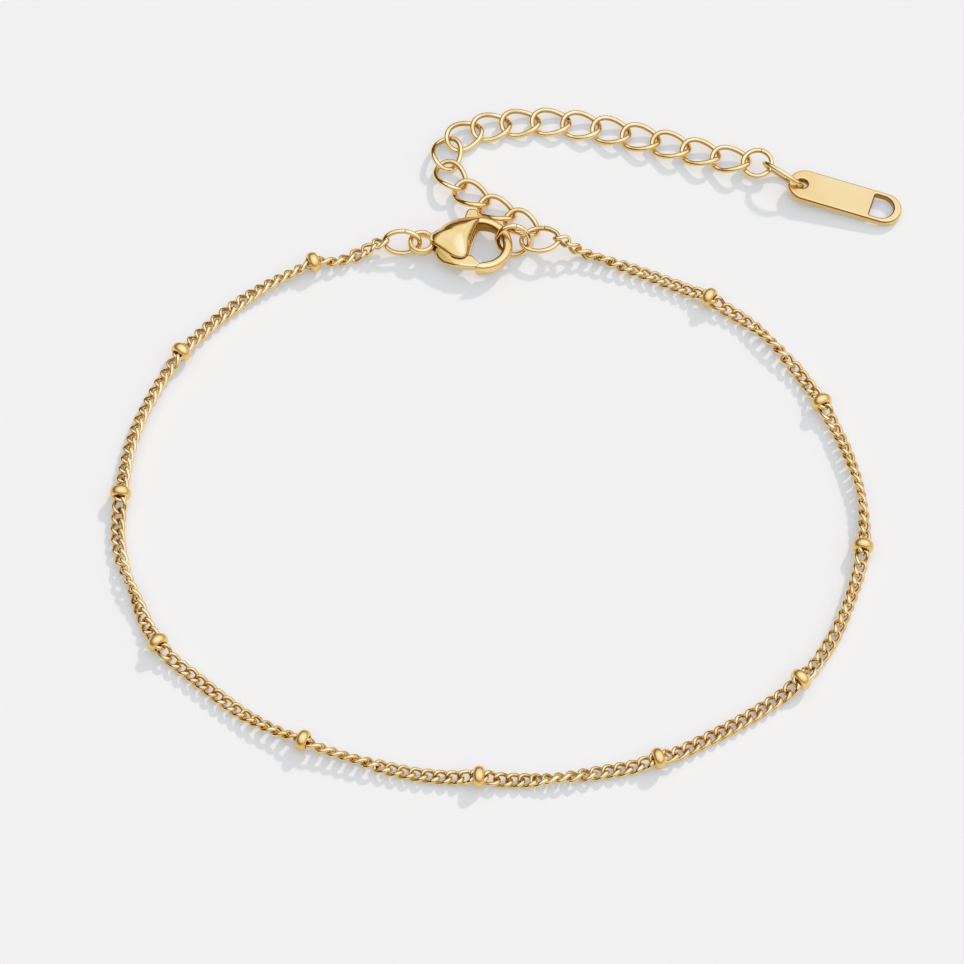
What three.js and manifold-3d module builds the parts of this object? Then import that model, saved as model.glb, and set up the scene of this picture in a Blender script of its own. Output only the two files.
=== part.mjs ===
// Beaded chain anklet, closed by its clasp and lying on a flat surface.
// Millimetres, +Z up. The origin is on the surface, under the middle of the anklet's outer box.

import * as THREE from 'three';
import { mergeVertices } from 'three/addons/utils/BufferGeometryUtils.js';
import Module from 'manifold-3d';

const wasm = await Module();
wasm.setup();

// ---- driving dimensions ----

const CHAIN_RADIUS = 0.66; // tube that stands for the curb links
const CHAIN_NECK_RADIUS = 0.3; // where the chain runs through a bead
const CHAIN_SIDES = 8;
const CHAIN_STEP = 2.4; // distance between sections along the tube
const SEAT_GAP = 0.3; // clear distance between pieces that touch in use

const END_LINK = { halfLength: 0.88, halfWidth: 0.64, wire: 0.34 }; // the chain's first and last links
const CHAIN_ENDS = { left: 30, right: 90 }; // how far those links are turned on edge, degrees

const BEAD = { radius: 1.1, hole: 0.6, thickness: 1.2, sides: 14 };

const RING_SIDES = 8;
const RING_STEPS = 16;

const LINK = { halfLength: 1.98, halfWidth: 1.45, twist: 0.35, wire: 0.5 };

const HOOK = {
  radius: 2.77, // centreline of the hook's bow
  halfWidth: 0.52,
  middle: 1.5, // height of the clasp's mid-plane
  start: 114, // degrees, under the front shell
  end: -112, // degrees, cut back where the lever's tip passes
  steps: 20,
  sides: 10,
  power: 2.6, // squareness of the section
};
const CLASP = { x: -3.2, y: 22.4, heading: -3.75, height: 3.0 };
const SLOT = { low: 0.9, high: 2.1 }; // the lever moves between these heights
const PIVOT = { x: -3.7, y: -0.2, pin: 0.34, hole: 0.5, hub: 0.72, sides: 16 };
const LEVER = { low: 1.05, high: 1.95, bevel: 0.1, sweep: 4.58 };
const TAIL = { x: -6.11, outer: 1.45, hole: 0.9, halfHeight: 0.52, sides: 20 };

const TAG = {
  x: 30.02,
  y: 30.31,
  z: 1.12,
  heading: -17.5,
  tilt: 3.6,
  thickness: 0.84,
  halfWidth: 1.85,
  leftCentre: 0.42, // middle of the rounded end at the ring hole
  rightCentre: 8.82, // middle of the rounded end at the window
  bevel: 0.12,
  hole: 0.58,
  windowStart: 7.55,
  windowCentre: 8.46,
  windowRadius: 1.36,
};

// ---- finishes ----

const POLISHED_GOLD = { color: 0xe9b552, roughness: 0.2, metalness: 1.0 };
const SATIN_GOLD = { color: 0xe8bd6a, roughness: 0.36, metalness: 1.0 };

// ---- tables ----

// The chain's route from the left jump ring round to the right one.
// Columns: x, y, height of the centreline, 1 where a bead is threaded.
const ROUTE = [
  [-13.46, 22.84, 1.49, 0],
  [-15.6, 22.1, 1.15, 0],
  [-17.8, 21.1, 0.95, 0],
  [-20.4, 20.7, 1.1, 1],
  [-25.4, 17.9, 0.75, 0],
  [-29.8, 14.2, 0.75, 0],
  [-33.6, 9.7, 1.1, 1],
  [-36.4, 4.5, 0.75, 0],
  [-38.3, -1.1, 0.75, 0],
  [-39.1, -7.2, 1.1, 1],
  [-39.1, -13.1, 0.75, 0],
  [-37.3, -18.8, 0.75, 0],
  [-34.8, -24.4, 1.1, 1],
  [-30.5, -28.6, 0.75, 0],
  [-25.9, -32.4, 0.75, 0],
  [-20.4, -35.3, 1.1, 1],
  [-15.0, -37.3, 0.75, 0],
  [-9.3, -38.8, 0.75, 0],
  [-3.4, -39.3, 1.1, 1],
  [2.4, -39.4, 0.75, 0],
  [8.2, -38.6, 0.75, 0],
  [13.9, -37.3, 1.1, 1],
  [18.9, -34.8, 0.75, 0],
  [23.6, -31.9, 0.75, 0],
  [27.9, -28.5, 1.1, 1],
  [31.2, -23.8, 0.75, 0],
  [33.3, -18.7, 0.75, 0],
  [34.6, -13.4, 1.1, 1],
  [34.7, -7.4, 0.75, 0],
  [33.3, -1.7, 0.75, 0],
  [31.1, 3.6, 1.1, 1],
  [28.2, 8.6, 0.75, 0],
  [24.6, 13.0, 0.75, 0],
  [20.1, 16.3, 1.1, 1],
  [15.3, 18.8, 0.75, 0],
  [10.4, 20.9, 0.95, 0],
  [7.4, 22.0, 1.35, 0],
  [5.1, 22.78, 2.02, 0],
];

// The extender's links, from the clasp outwards. Columns: x, y, height, heading, roll, tilt (degrees).
const LINKS = [
  [1.01, 25.26, 1.31, 131.2, 10.7, -5.2],
  [-1.52, 27.29, 1.03, 145.2, 11.1, -3.2],
  [-4.14, 29.23, 0.90, 141, 8.6, -2],
  [-6.31, 31.64, 0.86, 119.3, 8.9, -3.8],
  [-6.78, 34.62, 0.82, 78.8, 9.8, -2.6],
  [-5.00, 36.94, 0.78, 33.5, 11.1, -2.1],
  [-2.16, 38.10, 0.73, 12.3, 7.3, -0.9],
  [0.90, 38.60, 0.70, 6.1, 3.8, -0.5],
  [4.10, 38.70, 0.68, -3, 2.9, -0.2],
  [7.25, 38.20, 0.74, -11, 6.6, -0.3],
  [10.36, 37.50, 0.75, -16, 4.2, 0.2],
  [13.42, 36.59, 0.80, -17, 2.7, 0.9],
  [16.55, 35.59, 0.86, -17.4, 1.7, 1.2],
  [19.63, 34.58, 0.95, -17.9, -0.3, 1.5],
  [22.75, 33.61, 1.10, -13.6, -2.6, 4.2],
];

// Plain oval rings. Columns: name, half length, half width, wire, x, y, height, heading, roll, tilt.
const RINGS = [
  ['jump_ring_left', 1.83, 1.25, 0.46, -11.32, 22.89, 1.51, -0.7, 59.5, 0.8],
  ['catch_ring', 1.65, 1.7, 0.46, 0.13, 22.94, 1.78, -1.3, 64.3, 1],
  ['jump_ring_right', 1.95, 1.46, 0.46, 2.86, 23.06, 1.73, -5.8, -1.3, 10],
  ['extender_end_ring', 1.5, 1.42, 0.46, 25.48, 33.00, 1.32, -9.9, 16.4, 6],
  ['tag_ring', 2.3, 1.35, 0.44, 28.09, 31.39, 1.49, -33.3, -65.7, -6.8],
];

// Outline of the clasp's shells seen from above, in the clasp's own frame. Columns: x, y.
const SHELL_OUTLINE = [
  [-5.25, 0.5],
  [-5.2, -0.1],
  [-4.95, -0.52],
  [-4.4, -0.82],
  [-3.8, -1.26],
  [-3.25, -1.64],
  [-2.75, -1.88],
  [-2.3, -2.0],
  [-1.85, -2.02],
  [-1.45, -1.82],
  [-1.2, -1.32],
  [-1.02, -0.4],
  [-0.92, 0.35],
  [-0.74, 1.36],
  [-0.4, 2.28],
  [0.0, 3.1],
  [-0.6, 3.2],
  [-1.6, 3.06],
  [-2.6, 2.82],
  [-3.56, 2.3],
  [-4.03, 1.86],
  [-4.4, 1.37],
  [-4.9, 0.85],
];
const SHELL_CROWN = { x: -2.3, y: 0.9 }; // the shells swell towards this point

// Height of each shell over its outline. Columns: share of the outline, height.
const FRONT_SHELL = [
  [1.0, 2.1],
  [1.0, 2.34],
  [0.93, 2.6],
  [0.74, 2.85],
  [0.42, 2.98],
  [0.12, 3.0],
];
const BACK_SHELL = [
  [0.6, 0.0],
  [0.82, 0.1],
  [0.95, 0.34],
  [1.0, 0.62],
  [1.0, 0.9],
];

// Solid metal at the neck, between the shells. Columns: x, y.
const NECK_OUTLINE = [
  [-5.3, -0.35],
  [-4.62, -0.22],
  [-4.5, 0.6],
  [-4.1, 1.05],
  [-4.0, 1.75],
  [-4.35, 1.35],
  [-4.9, 0.95],
  [-5.35, 0.6],
];

// Room for the lever, open along the gate and under the thumb tab. Columns: x, y.
const SLOT_OUTLINE = [
  [-4.5, -3.4],
  [-0.5, -3.4],
  [-0.5, -1.0],
  [-0.15, 2.0],
  [-0.15, 3.7],
  [-3.95, 3.7],
  [-4.05, 1.9],
  [-4.5, 0.8],
];

// Outline of the lever seen from above: gate arm, then the hub's near side, thumb tab and far side.
// Columns: x, y.
const LEVER_OUTLINE = [
  [-0.22, -2.82],
  [0.15, -2.32],
  [-0.91, -1.38],
  [-1.7, -1.5],
  [-2.4, -1.35],
  [-2.9, -0.9],
  [-2.95, -0.15],
  [-0.85, 2.45],
  [-0.38, 3.25],
  [-0.62, 4.2],
  [-0.85, 4.42],
  [-1.45, 4.4],
  [-1.72, 4.18],
  [-1.95, 3.3],
  [-4.25, 0.4],
  [-4.42, -0.25],
  [-4.66, -0.8],
  [-4.56, -1.25],
  [-4.3, -1.69],
  [-3.76, -2.2],
  [-2.73, -2.66],
  [-1.72, -2.84],
  [-0.72, -2.86],
];

// ---- helpers ----

const radians = THREE.MathUtils.degToRad;
const WELD = 0.0002; // corners nearer than this are one

function welded(geometry) {
  const plain = geometry.index ? geometry.toNonIndexed() : geometry.clone();
  for (const name of Object.keys(plain.attributes)) {
    if (name !== 'position') {
      plain.deleteAttribute(name);
    }
  }
  return mergeVertices(plain, WELD);
}

function solid(geometry) {
  const shape = welded(geometry);
  const mesh = new wasm.Mesh({
    numProp: 3,
    vertProperties: new Float32Array(shape.attributes.position.array),
    triVerts: new Uint32Array(shape.index.array),
  });
  return new wasm.Manifold(mesh);
}

function geometryOf(manifold) {
  const mesh = manifold.getMesh();
  const geometry = new THREE.BufferGeometry();
  geometry.setAttribute('position', new THREE.BufferAttribute(mesh.vertProperties, 3));
  geometry.setIndex(new THREE.BufferAttribute(mesh.triVerts, 1));
  return geometry;
}

function piece(name, geometry, finish) {
  const shaded = welded(geometry);
  shaded.computeVertexNormals();
  const mesh = new THREE.Mesh(shaded, new THREE.MeshStandardMaterial(finish));
  mesh.name = name;
  return mesh;
}

function numbered(stem, index) {
  return `${stem}_${String(index + 1).padStart(2, '0')}`;
}

function roundShape(radius, sides) {
  const shape = new THREE.Shape();
  for (let i = 0; i < sides; i += 1) {
    const angle = ((i + 0.5) / sides) * 2 * Math.PI;
    const x = radius * Math.cos(angle);
    const y = radius * Math.sin(angle);
    if (i === 0) {
      shape.moveTo(x, y);
    } else {
      shape.lineTo(x, y);
    }
  }
  shape.closePath();
  return shape;
}

function outlineShape(rows) {
  return new THREE.Shape(rows.map(([x, y]) => new THREE.Vector2(x, y)));
}

function slab(rows, low, high, bevel = 0) {
  const geometry = new THREE.ExtrudeGeometry(outlineShape(rows), {
    depth: high - low - 2 * bevel,
    steps: 1,
    bevelEnabled: bevel > 0,
    bevelSize: bevel,
    bevelThickness: bevel,
    bevelOffset: -bevel,
    bevelSegments: 1,
  });
  return geometry.translate(0, 0, low + bevel);
}

function tube(points, radius, sides) {
  return new THREE.ExtrudeGeometry(roundShape(radius, sides), {
    steps: points.length - 1,
    extrudePath: new THREE.CatmullRomCurve3(points),
    bevelEnabled: false,
  });
}

// A closed curve whose direction is the same at its end as at its start.
class WireCurve extends THREE.CatmullRomCurve3 {
  constructor(points) {
    super(points, true);
  }

  getTangent(t, target = new THREE.Vector3()) {
    const delta = 0.0001;
    const before = this.getPoint((t - delta + 1) % 1);
    const after = this.getPoint((t + delta) % 1);
    return target.copy(after).sub(before).normalize();
  }
}

// A closed loop of wire: the swept sides close on themselves, so the two end caps are left out.
function wireLoop(points, radius) {
  const swept = new THREE.ExtrudeGeometry(roundShape(radius, RING_SIDES), {
    steps: points.length,
    extrudePath: new WireCurve(points),
    bevelEnabled: false,
  });
  const sides = swept.groups.find((group) => group.materialIndex === 1);
  const all = swept.attributes.position.array;
  const geometry = new THREE.BufferGeometry();
  const kept = all.slice(sides.start * 3, (sides.start + sides.count) * 3);
  geometry.setAttribute('position', new THREE.BufferAttribute(kept, 3));
  return geometry;
}

function ovalPoints(halfLength, halfWidth, twist, steps = RING_STEPS) {
  const points = [];
  for (let i = 0; i < steps; i += 1) {
    const t = (i / steps) * 2 * Math.PI;
    points.push(
      new THREE.Vector3(halfLength * Math.cos(t), halfWidth * Math.sin(t), -twist * Math.sin(2 * t)),
    );
  }
  return points;
}

function placed(object, x, y, z, heading, roll = 0, tilt = 0) {
  object.position.set(x, y, z);
  object.rotation.set(radians(roll), radians(-tilt), radians(heading), 'ZYX');
  return object;
}

// Joins closed rings of points, one after another, into a solid with flat ends.
function loft(rings) {
  const count = rings[0].length;
  const position = rings.flat().flatMap((p) => [p.x, p.y, p.z]);
  const index = [];
  for (let r = 0; r + 1 < rings.length; r += 1) {
    for (let i = 0; i < count; i += 1) {
      const a = r * count + i;
      const b = r * count + ((i + 1) % count);
      index.push(a, b, b + count, a, b + count, a + count);
    }
  }
  const last = (rings.length - 1) * count;
  const flat = rings[0].map((p) => new THREE.Vector2(p.u, p.v));
  for (const [a, b, c] of THREE.ShapeUtils.triangulateShape(flat, [])) {
    index.push(c, b, a, last + a, last + b, last + c);
  }
  const geometry = new THREE.BufferGeometry();
  geometry.setAttribute('position', new THREE.Float32BufferAttribute(position, 3));
  geometry.setIndex(index);
  return geometry;
}

// ---- chain ----

const routeCurve = new THREE.CatmullRomCurve3(ROUTE.map(([x, y, z]) => new THREE.Vector3(x, y, z)));
const LENGTH_SAMPLES = 40; // per stretch between two rows of the route
const routeLengths = routeCurve.getLengths((ROUTE.length - 1) * LENGTH_SAMPLES);
const routeLength = routeLengths[routeLengths.length - 1];

function lengthAtRow(row) {
  return routeLengths[row * LENGTH_SAMPLES];
}

function routePoints(from, to, step) {
  const steps = Math.max(2, Math.round((to - from) / step));
  const points = [];
  for (let i = 0; i <= steps; i += 1) {
    points.push(routeCurve.getPointAt((from + ((to - from) * i) / steps) / routeLength));
  }
  return points;
}

function endLink(row, roll) {
  const at = lengthAtRow(row) / routeLength;
  const along = routeCurve.getTangentAt(at);
  const loop = wireLoop(ovalPoints(END_LINK.halfLength, END_LINK.halfWidth, 0, 12), END_LINK.wire / 2);
  const [x, y, z] = ROUTE[row];
  const holder = placed(new THREE.Object3D(), x, y, z, THREE.MathUtils.radToDeg(Math.atan2(along.y, along.x)), roll);
  holder.updateMatrix();
  return solid(loop.applyMatrix4(holder.matrix));
}

function chainSpan(index, beadRows) {
  const last = ROUTE.length - 1;
  const fromRow = index === 0 ? 0 : beadRows[index - 1];
  const toRow = index === beadRows.length ? last : beadRows[index];
  const clear = BEAD.thickness / 2 + SEAT_GAP;
  const from = lengthAtRow(fromRow) + (index === 0 ? END_LINK.halfLength : clear);
  const to = lengthAtRow(toRow) - (index === beadRows.length ? END_LINK.halfLength : clear);
  let span = solid(tube(routePoints(from, to, CHAIN_STEP), CHAIN_RADIUS, CHAIN_SIDES));
  const reach = clear - SEAT_GAP / 2;
  const middle = CHAIN_STEP / 2;
  if (index > 0) {
    span = span.add(solid(tube(routePoints(from - reach, from + middle, middle), CHAIN_NECK_RADIUS, CHAIN_SIDES)));
  } else {
    span = span.add(endLink(0, CHAIN_ENDS.left));
  }
  if (index < beadRows.length) {
    span = span.add(solid(tube(routePoints(to - middle, to + reach, middle), CHAIN_NECK_RADIUS, CHAIN_SIDES)));
  } else {
    span = span.add(endLink(last, CHAIN_ENDS.right));
  }
  return geometryOf(span);
}

function beadGeometry() {
  const { radius, hole, thickness, sides } = BEAD;
  const half = thickness / 2;
  const middle = (radius + hole) / 2;
  const depth = (radius - hole) / 2;
  const profile = [];
  const corners = 8;
  const squareness = 0.82;
  for (let i = 0; i <= corners; i += 1) {
    const angle = ((i % corners) / corners) * 2 * Math.PI;
    const x = Math.sign(Math.cos(angle)) * Math.abs(Math.cos(angle)) ** squareness;
    const y = Math.sign(Math.sin(angle)) * Math.abs(Math.sin(angle)) ** squareness;
    profile.push(new THREE.Vector2(middle + depth * x, half * y));
  }
  return new THREE.LatheGeometry(profile, sides);
}

function bead(index, row) {
  const mesh = piece(numbered('bead', index), beadGeometry(), POLISHED_GOLD);
  const along = routeCurve.getTangentAt(lengthAtRow(row) / routeLength);
  const [x, y, z] = ROUTE[row];
  mesh.position.set(x, y, z);
  mesh.quaternion.setFromUnitVectors(new THREE.Vector3(0, 1, 0), new THREE.Vector3(along.x, along.y, 0).normalize());
  return mesh;
}

// ---- clasp ----

function shell(levels) {
  const rings = levels.map(([share, height]) =>
    SHELL_OUTLINE.map(([x, y]) => ({
      x: SHELL_CROWN.x + (x - SHELL_CROWN.x) * share,
      y: SHELL_CROWN.y + (y - SHELL_CROWN.y) * share,
      z: height,
      u: x,
      v: y,
    })),
  );
  return solid(loft(rings));
}

function hookHalfHeight(angle) {
  const root = 0.95;
  const nose = 0.68;
  const tip = 0.86;
  const share = Math.min(1, Math.abs(angle) / 90);
  const end = angle > 0 ? root : tip;
  return nose + (end - nose) * share * share;
}

function hook() {
  const rings = [];
  for (let i = 0; i <= HOOK.steps; i += 1) {
    const angle = HOOK.start + ((HOOK.end - HOOK.start) * i) / HOOK.steps;
    const half = hookHalfHeight(angle);
    const ring = [];
    for (let k = 0; k < HOOK.sides; k += 1) {
      const t = (k / HOOK.sides) * 2 * Math.PI;
      const across = Math.sign(Math.cos(t)) * Math.abs(Math.cos(t)) ** (2 / HOOK.power);
      const up = Math.sign(Math.sin(t)) * Math.abs(Math.sin(t)) ** (2 / HOOK.power);
      const radius = HOOK.radius + HOOK.halfWidth * across;
      ring.push({
        x: radius * Math.cos(radians(angle)),
        y: radius * Math.sin(radians(angle)),
        z: HOOK.middle + half * up,
        u: across,
        v: up,
      });
    }
    rings.push(ring);
  }
  return solid(loft(rings));
}

function upright(radius, low, high, sides, x = 0, y = 0) {
  const rod = new THREE.CylinderGeometry(radius, radius, high - low, sides).rotateX(Math.PI / 2);
  return solid(rod.translate(x, y, (low + high) / 2));
}

function tailRing() {
  const { x, outer, hole, halfHeight, sides } = TAIL;
  const chamfer = 0.16;
  const profile = [
    [hole + chamfer, -halfHeight],
    [outer - chamfer, -halfHeight],
    [outer, -halfHeight + chamfer],
    [outer, halfHeight - chamfer],
    [outer - chamfer, halfHeight],
    [hole + chamfer, halfHeight],
    [hole, halfHeight - chamfer],
    [hole, -halfHeight + chamfer],
    [hole + chamfer, -halfHeight],
  ];
  const ring = new THREE.LatheGeometry(profile.map(([r, z]) => new THREE.Vector2(r, z)), sides);
  ring.rotateX(Math.PI / 2);
  ring.translate(x, 0, HOOK.middle);
  return solid(ring);
}

function claspBody() {
  const sweep = upright(LEVER.sweep, -1, CLASP.height + 1, 48, PIVOT.x, PIVOT.y);
  const nearHook = new THREE.BoxGeometry(6, 3, 6).translate(-1.9, -2.9, HOOK.middle);
  const cutAtTip = sweep.intersect(solid(nearHook));
  const slot = solid(slab(SLOT_OUTLINE, SLOT.low, SLOT.high));
  const neck = solid(slab(NECK_OUTLINE, 0.6, 2.4, 0.12));
  const between = hook().subtract(cutAtTip).add(neck).add(tailRing()).subtract(slot);
  const pin = upright(PIVOT.pin, SLOT.low - 0.2, SLOT.high + 0.2, PIVOT.sides, PIVOT.x, PIVOT.y);
  return between.add(shell(FRONT_SHELL)).add(shell(BACK_SHELL)).add(pin);
}

function claspLever() {
  const arm = solid(slab(LEVER_OUTLINE, LEVER.low, LEVER.high, LEVER.bevel));
  const hub = upright(PIVOT.hub, LEVER.low, LEVER.high, PIVOT.sides, PIVOT.x, PIVOT.y);
  const hole = upright(PIVOT.hole, LEVER.low - 1, LEVER.high + 1, PIVOT.sides, PIVOT.x, PIVOT.y);
  return arm.add(hub).subtract(hole);
}

function clasp() {
  const group = placed(new THREE.Group(), CLASP.x, CLASP.y, 0, CLASP.heading);
  group.add(piece('clasp_body', geometryOf(claspBody()), SATIN_GOLD));
  group.add(piece('clasp_lever', geometryOf(claspLever()), SATIN_GOLD));
  return group;
}

// ---- tag ----

function tagShape() {
  const { halfWidth, leftCentre, rightCentre } = TAG;
  const quarter = Math.PI / 2;
  const shape = new THREE.Shape();
  shape.absarc(rightCentre, 0, halfWidth, -quarter, quarter, false);
  shape.absarc(leftCentre, 0, halfWidth, quarter, 3 * quarter, false);
  shape.closePath();
  const hole = new THREE.Path();
  hole.absarc(0, 0, TAG.hole, 0, 2 * Math.PI, true);
  const window = new THREE.Path();
  const corner = Math.sqrt(TAG.windowRadius ** 2 - 0.35 ** 2);
  window.moveTo(TAG.windowStart, corner);
  window.lineTo(TAG.windowCentre, TAG.windowRadius);
  window.absarc(TAG.windowCentre, 0, TAG.windowRadius, quarter, -quarter, true);
  window.lineTo(TAG.windowStart, -corner);
  window.closePath();
  shape.holes.push(hole, window);
  return shape;
}

function endTag() {
  const { thickness, bevel } = TAG;
  const geometry = new THREE.ExtrudeGeometry(tagShape(), {
    depth: thickness - 2 * bevel,
    steps: 1,
    curveSegments: 12,
    bevelEnabled: true,
    bevelSize: bevel,
    bevelThickness: bevel,
    bevelOffset: -bevel,
    bevelSegments: 1,
  });
  geometry.translate(0, 0, bevel - thickness / 2);
  return placed(piece('end_tag', geometry, SATIN_GOLD), TAG.x, TAG.y, TAG.z, TAG.heading, 0, -TAG.tilt);
}

// ---- assembly ----

function anklet() {
  const group = new THREE.Group();
  group.name = 'beaded_chain_anklet';
  const beadRows = ROUTE.map((row, i) => (row[3] ? i : -1)).filter((i) => i >= 0);
  for (let i = 0; i <= beadRows.length; i += 1) {
    group.add(piece(numbered('chain_span', i), chainSpan(i, beadRows), POLISHED_GOLD));
  }
  beadRows.forEach((row, i) => group.add(bead(i, row)));
  LINKS.forEach(([x, y, z, heading, roll, tilt], i) => {
    const points = ovalPoints(LINK.halfLength, LINK.halfWidth, LINK.twist);
    const link = piece(numbered('extender_link', i), wireLoop(points, LINK.wire / 2), POLISHED_GOLD);
    group.add(placed(link, x, y, z, heading, roll, tilt));
  });
  for (const [name, halfLength, halfWidth, wire, x, y, z, heading, roll, tilt] of RINGS) {
    const ring = piece(name, wireLoop(ovalPoints(halfLength, halfWidth, 0), wire / 2), POLISHED_GOLD);
    group.add(placed(ring, x, y, z, heading, roll, tilt));
  }
  group.add(clasp());
  group.add(endTag());
  return group;
}

export default anklet();
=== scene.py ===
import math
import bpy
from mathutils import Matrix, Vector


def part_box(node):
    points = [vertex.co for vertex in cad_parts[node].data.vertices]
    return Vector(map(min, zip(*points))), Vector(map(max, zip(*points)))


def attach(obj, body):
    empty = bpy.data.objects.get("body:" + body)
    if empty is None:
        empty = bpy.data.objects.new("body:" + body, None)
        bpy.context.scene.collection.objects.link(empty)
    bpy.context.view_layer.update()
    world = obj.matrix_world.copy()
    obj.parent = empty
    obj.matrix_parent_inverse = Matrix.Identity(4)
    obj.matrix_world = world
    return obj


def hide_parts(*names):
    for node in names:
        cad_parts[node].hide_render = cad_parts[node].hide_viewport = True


bl_info = {
    "name": "Beaded chain anklet",
    "version": (1, 0, 0),
    "blender": (4, 5, 0),
    "location": "3D View > Sidebar > Anklet",
    "description": "Builds a beaded curb-chain anklet with its clasp, extender chain and tag",
    "category": "Object",
}

import bmesh
import bpy
from bpy.props import FloatProperty, FloatVectorProperty, PointerProperty
from mathutils import Matrix, Vector

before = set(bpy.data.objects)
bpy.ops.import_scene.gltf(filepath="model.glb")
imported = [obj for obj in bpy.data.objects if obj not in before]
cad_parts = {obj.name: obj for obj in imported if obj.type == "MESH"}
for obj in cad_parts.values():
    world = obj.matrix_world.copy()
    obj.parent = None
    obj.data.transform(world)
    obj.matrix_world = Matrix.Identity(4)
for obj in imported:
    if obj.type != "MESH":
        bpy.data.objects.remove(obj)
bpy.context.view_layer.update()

MM = 0.001
UP = Vector((0, 0, 1))
BODY = "anklet"
LEVER_BODY = "lever"

# Mesh attribute for painted shade: how far a spot's colour is darkened towards the shaded gold, from 0 to
# 1. The numbers below say how dark the painted shade gets on the chain's and on the rings' and links' inner
# sides.
PAINTED_SHADE = "painted_shade"
CHAIN_PAINTED_SHADE = 1.0
RING_PAINTED_SHADE = 0.7

# Width of the fine joint where a ring's wire ends meet, in metres, and its place round the ring in degrees.
JOINT_GAP = 0.00002
RING_CUT = 80

# Where each bead is thickest along the chain, as a share of its wall outward from the hole.
BEAD_WIDEST = 0.12

# Corners round each cross-section and steps along each sweep, before any rounding.
CORNERS = {"chain": 6, "wire": 8, "bead": 14, "hook": 16, "tail": 12, "pin": 24, "floor": 64}
STEPS = {"chain": 12, "wire": 26, "bead": 28, "hook": 40, "tail": 28}

# Edges that bend more than this many degrees stay crisp.
CRISP = {"lever": 35, "tag": 30}

# How square to the flat direction a face is, and how near in height an edge's ends are, to count as level.
LEVEL_FACE = 0.9999
LEVEL_EDGE = 0.000001

# ---- tables ----

# The chain's route from the left jump ring round to the right one.
# Columns: x and y in millimetres, whether a bead sits there.
CHAIN_ROUTE = (
    (-13.46, 22.84, False),
    (-15.6, 22.1, False),
    (-17.8, 21.1, False),
    (-20.4, 20.7, True),
    (-25.4, 17.9, False),
    (-29.8, 14.2, False),
    (-33.6, 9.7, True),
    (-36.4, 4.5, False),
    (-38.3, -1.1, False),
    (-39.1, -7.2, True),
    (-39.1, -13.1, False),
    (-37.3, -18.8, False),
    (-34.8, -24.4, True),
    (-30.5, -28.6, False),
    (-25.9, -32.4, False),
    (-20.4, -35.3, True),
    (-15.0, -37.3, False),
    (-9.3, -38.8, False),
    (-3.4, -39.3, True),
    (2.4, -39.4, False),
    (8.2, -38.6, False),
    (13.9, -37.3, True),
    (18.9, -34.8, False),
    (23.6, -31.9, False),
    (27.9, -28.5, True),
    (31.2, -23.8, False),
    (33.3, -18.7, False),
    (34.6, -13.4, True),
    (34.7, -7.4, False),
    (33.3, -1.7, False),
    (31.1, 3.6, True),
    (28.2, 8.6, False),
    (24.6, 13.0, False),
    (20.1, 16.3, True),
    (15.3, 18.8, False),
    (10.4, 20.9, False),
    (7.4, 22.0, False),
    (5.1, 22.78, False),
)

# How far the chain is rolled about its own length.
# Columns: beads passed from the left jump ring, roll in degrees.
CHAIN_ROLL = (
    (0.0, 30),
    (0.3, 5),
    (0.6, 45),
    (1.0, 55),
    (1.3, 40),
    (1.5, 5),
    (1.75, 20),
    (2.0, 35),
    (2.5, 40),
    (3.0, 30),
    (3.1, 0),
    (3.3, 10),
    (3.55, 85),
    (3.85, 30),
    (4.0, 0),
    (4.5, 0),
    (4.8, -40),
    (5.0, -58),
    (5.35, -55),
    (5.5, -10),
    (6.0, 15),
    (6.2, 15),
    (6.45, -50),
    (6.7, -5),
    (7.0, 0),
    (7.5, 8),
    (8.0, 8),
    (8.3, 40),
    (8.6, 60),
    (9.0, 20),
    (9.3, 80),
    (9.7, 40),
    (10.0, 0),
    (10.25, 0),
    (10.5, 60),
    (10.8, 0),
    (11.0, 0),
    (11.5, 15),
    (11.75, 60),
    (12.0, 90),
)

# Height of the chain's middle in the left and the right jump ring, how far along the chain
# each ring and bead lifts it, and the step its slope is measured over, in millimetres.
CHAIN_LIFT = {"left": 1.49, "right": 2.02, "reach": 1.5, "step": 0.4}

# The extender's links from the clasp outwards.
# Columns: x, y and height in millimetres, heading, roll and tilt in degrees.
EXTENDER_LINKS = (
    (1.01, 25.26, 1.31, 131.2, 10.7, -5.2),
    (-1.52, 27.29, 1.03, 145.2, 11.1, -3.2),
    (-4.14, 29.23, 0.90, 141.0, 8.6, -2.0),
    (-6.31, 31.64, 0.86, 119.3, 8.9, -3.8),
    (-6.78, 34.62, 0.82, 78.8, 9.8, -2.6),
    (-5.00, 36.94, 0.78, 33.5, 11.1, -2.1),
    (-2.16, 38.10, 0.73, 12.3, 7.3, -0.9),
    (0.90, 38.60, 0.70, 6.1, 3.8, -0.5),
    (4.10, 38.70, 0.68, -3.0, 2.9, -0.2),
    (7.25, 38.20, 0.74, -11.0, 6.6, -0.3),
    (10.36, 37.50, 0.75, -16.0, 4.2, 0.2),
    (13.42, 36.59, 0.80, -17.0, 2.7, 0.9),
    (16.55, 35.59, 0.86, -17.4, 1.7, 1.2),
    (19.63, 34.58, 0.95, -17.9, -0.3, 1.5),
    (22.75, 33.61, 1.10, -13.6, -2.6, 4.2),
)

# The plain oval rings.
# Columns: name, half length, half width, wire, x, y and height in millimetres,
# heading, roll and tilt in degrees.
RINGS = (
    ("jump_ring_left", 1.83, 1.25, 0.53, -11.32, 22.89, 1.51, -0.7, 59.5, 0.8),
    ("catch_ring", 1.65, 1.70, 0.53, 0.13, 22.94, 1.78, -1.3, 64.3, 1.0),
    ("jump_ring_right", 1.95, 1.46, 0.53, 2.86, 23.06, 1.73, -5.8, -1.3, 10.0),
    ("extender_end_ring", 1.5, 1.42, 0.53, 25.48, 33.00, 1.32, -9.9, 16.4, 6.0),
    ("tag_ring", 2.3, 1.35, 0.51, 28.09, 31.39, 1.49, -33.3, -65.7, -6.8),
)

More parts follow.
